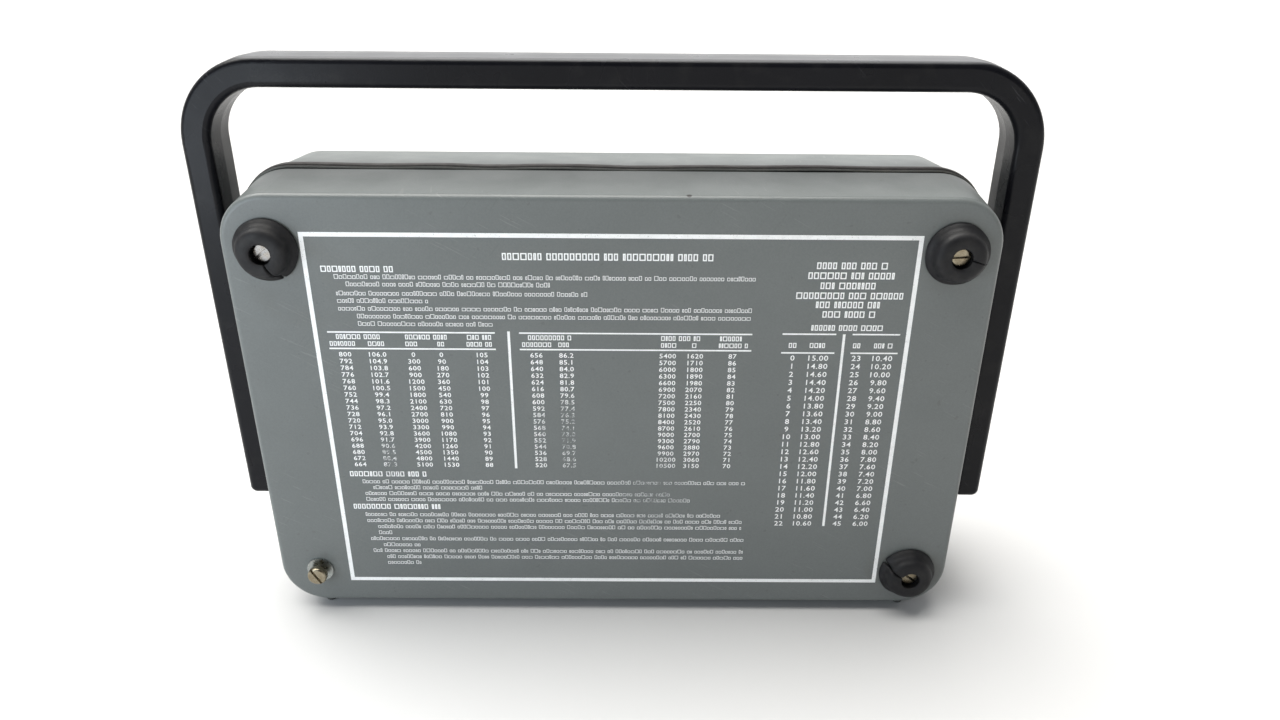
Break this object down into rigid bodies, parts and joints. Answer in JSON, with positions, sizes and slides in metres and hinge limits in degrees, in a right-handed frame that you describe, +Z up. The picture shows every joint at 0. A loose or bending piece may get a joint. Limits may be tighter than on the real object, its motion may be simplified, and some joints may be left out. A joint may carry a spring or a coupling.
{
  "type": "portable dissolved-oxygen meter",
  "caption": "Portable water-quality meter: grey two-part case with rubber seam, swinging carry handle, rear feet, and a front panel with display, knobs and probe sockets.",
  "frame": {"origin": "on the bench under the middle of the overall box, instrument standing on its four bottom feet", "axes": "+Z up, +X across the width to the right of a user facing the control panel, control panel facing -Y, instruction side facing +Y"},
  "size_m": [0.3932, 0.1142, 0.2782],
  "materials": {
    "case_grey": "satin moulded mid grey, lightly scuffed",
    "gasket_rubber": "dark grey to black, slightly shiny",
    "foot_rubber": "black, dull",
    "handle_black": "charcoal, satin sheen",
    "plated_steel": "nickel plated, slightly tarnished",
    "insert_brass": "turned",
    "hub_black": "moulded",
    "nylon": "natural",
    "panel_paint": "dark grey satin paint",
    "bezel_black": "moulded",
    "window_clear": "clear",
    "display_grey": "reflective liquid-crystal grey",
    "board_green": "solder mask",
    "part_black": "moulded",
    "capacitor_blue": "sleeved",
    "selector_white": "moulded",
    "knob_black": "moulded, fluted",
    "chassis_alloy": "mill finish",
    "cell_jacket": "plain jacket"
  },
  "bodies": {
    "case": {"rear_shell": "case_grey", "front_shell": "case_grey", "seam_gasket": "gasket_rubber", "rear_feet": "foot_rubber", "bottom_feet": "foot_rubber", "rear_screws": "plated_steel", "rear_washers": "plated_steel", "pivot_bolts": "plated_steel", "pivot_nuts": "plated_steel", "spring_washers": "plated_steel", "panel_screws": "plated_steel", "control_nuts": "plated_steel", "chassis_screws": "plated_steel", "board_screws": "plated_steel", "board_standoffs": "plated_steel", "upper_contacts": "plated_steel", "lower_contacts": "plated_steel", "receptacle_nuts": "plated_steel", "probe_receptacle": "plated_steel", "stirrer_receptacle": "plated_steel", "shell_inserts": "insert_brass", "pivot_hubs": "hub_black", "friction_washers": "nylon", "display_spacers": "nylon", "front_panel": "panel_paint", "display_bezel": "bezel_black", "display_window": "window_clear", "display_glass": "display_grey", "display_board": "board_green", "main_board": "board_green", "board_chips": "part_black", "membrane_selector": "part_black", "function_switch": "part_black", "zero_pot": "part_black", "calib_pot": "part_black", "salinity_pot": "part_black", "stirrer_switch": "part_black", "receptacle_inserts": "part_black", "upper_battery_holder": "part_black", "lower_battery_holder": "part_black", "board_capacitors": "capacitor_blue", "chassis_plate": "chassis_alloy", "upper_cells": "cell_jacket", "lower_cells": "cell_jacket"},
    "handle": {"handle": "handle_black", "pivot_bushes": "nylon"},
    "function_control": {"function_knob": "knob_black", "function_shaft": "plated_steel"},
    "zero_control": {"zero_knob": "knob_black", "zero_shaft": "plated_steel"},
    "calib_control": {"calib_knob": "knob_black", "calib_shaft": "plated_steel"},
    "salinity_control": {"salinity_knob": "knob_black", "salinity_shaft": "plated_steel"},
    "stirrer_toggle": {"stirrer_lever": "plated_steel"},
    "membrane_slider": {"membrane_selector_slider": "selector_white"}
  },
  "joints": [
    {"name": "handle_swing", "type": "hinge", "parent": "case", "child": "handle", "pos_m": [0, 0.00575, 0.0646], "axis": [1, 0, 0], "range_deg": [-104, 150]},
    {"name": "function_turn", "type": "hinge", "parent": "case", "child": "function_control", "pos_m": [0.088, -0.03825, 0.15335], "axis": [0, 1, 0], "range_deg": [0, 150]},
    {"name": "zero_turn", "type": "hinge", "parent": "case", "child": "zero_control", "pos_m": [-0.122, -0.03825, 0.07735], "axis": [0, 1, 0], "range_deg": [-150, 150]},
    {"name": "calib_turn", "type": "hinge", "parent": "case", "child": "calib_control", "pos_m": [-0.066, -0.03825, 0.07735], "axis": [0, 1, 0], "range_deg": [-150, 150]},
    {"name": "salinity_turn", "type": "hinge", "parent": "case", "child": "salinity_control", "pos_m": [-0.008, -0.03825, 0.07735], "axis": [0, 1, 0], "range_deg": [0, 270]},
    {"name": "stirrer_throw", "type": "hinge", "parent": "case", "child": "stirrer_toggle", "pos_m": [0.048, -0.04075, 0.07735], "axis": [1, 0, 0], "range_deg": [-13, 13]},
    {"name": "membrane_select", "type": "slide", "parent": "case", "child": "membrane_slider", "axis": [1, 0, 0], "range_m": [-0.0025, 0.0025]}
  ]
}
